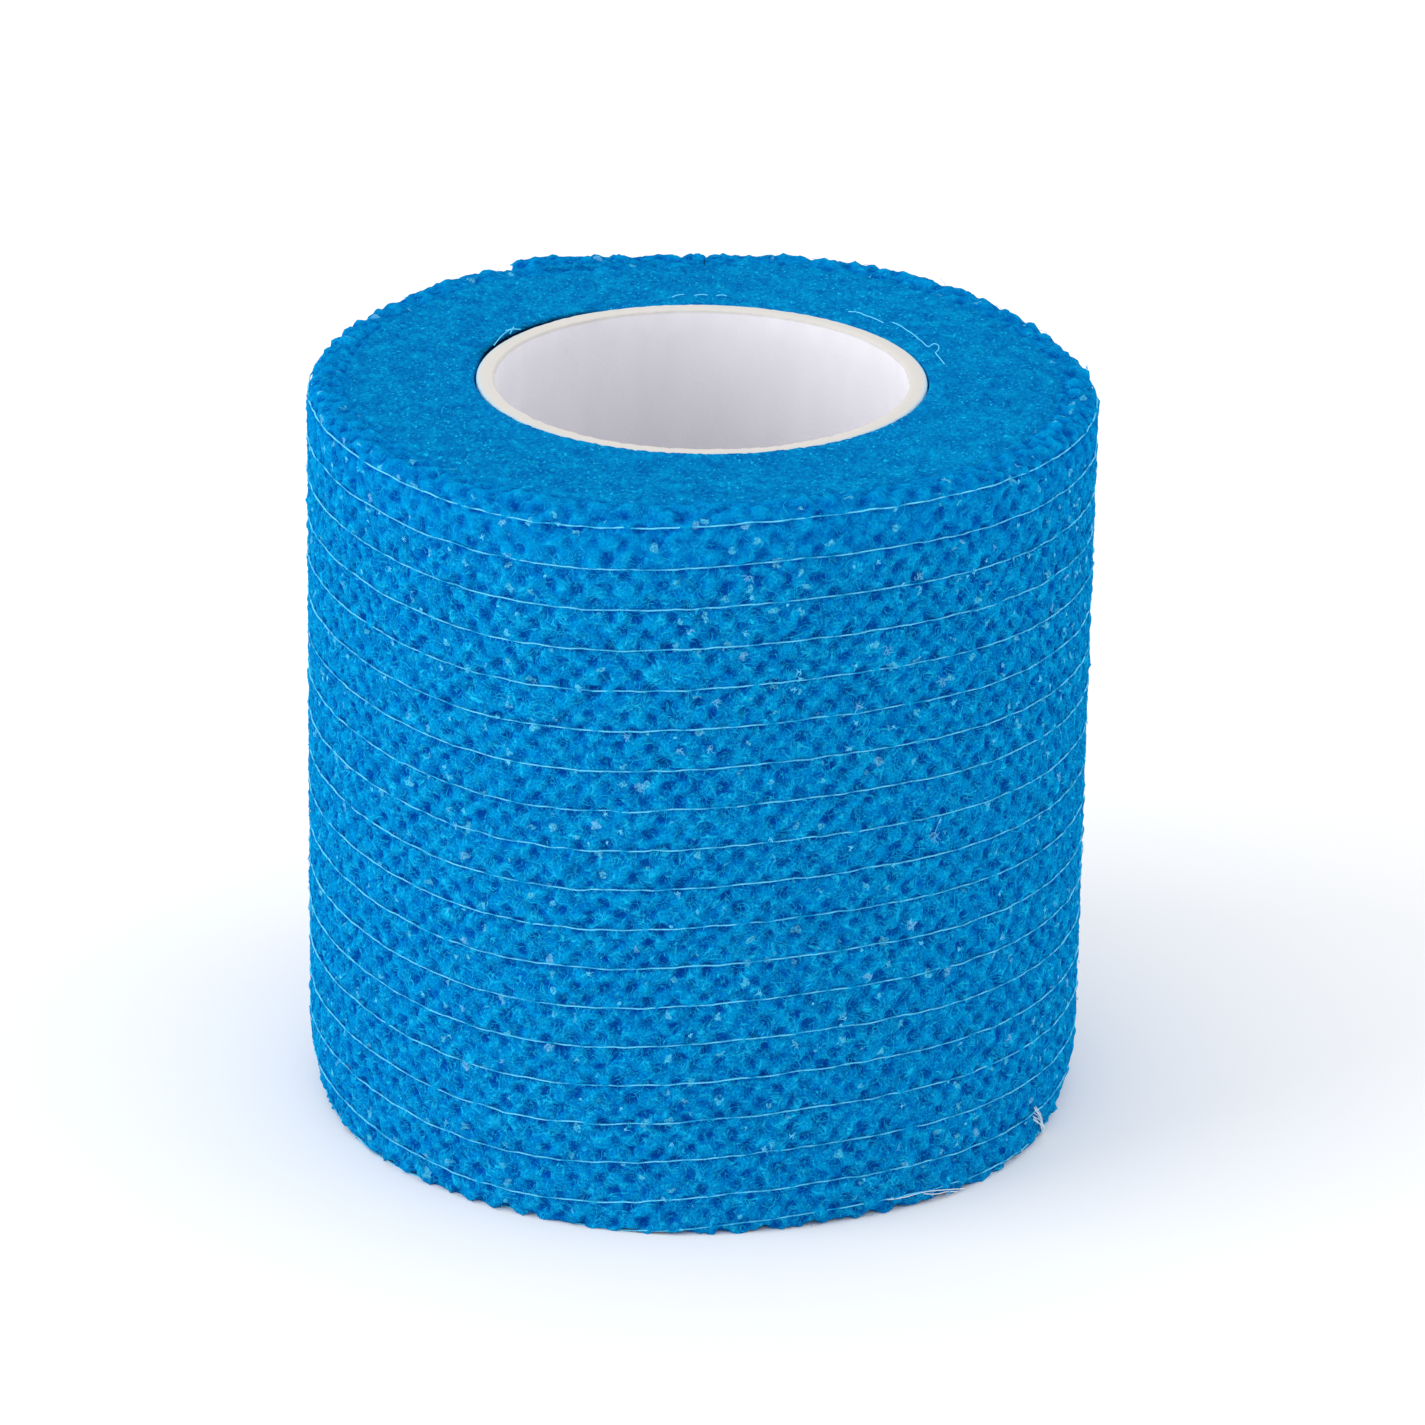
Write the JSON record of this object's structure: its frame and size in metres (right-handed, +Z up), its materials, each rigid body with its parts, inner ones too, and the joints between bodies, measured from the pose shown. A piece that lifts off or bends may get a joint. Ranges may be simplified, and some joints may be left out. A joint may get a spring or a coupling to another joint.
{
  "type": "sock tape roll",
  "caption": "Roll of crinkled cohesive elastic tape wound on a short board tube, standing on its end, with the tape's loose end lifting at the back.",
  "frame": {"origin": "on the axis of the board tube, in the plane of the foot that the roll stands on", "axes": "+Z up along the roll's axis, -Y towards the side seen in front, +X to that side's right"},
  "size_m": [0.0524, 0.053, 0.0503],
  "materials": {
    "tape_cloth": "matte",
    "core_board": "matte"
  },
  "bodies": {
    "root": {"wound_tape": "tape_cloth", "loose_end": "tape_cloth", "core": "core_board"}
  },
  "joints": []
}
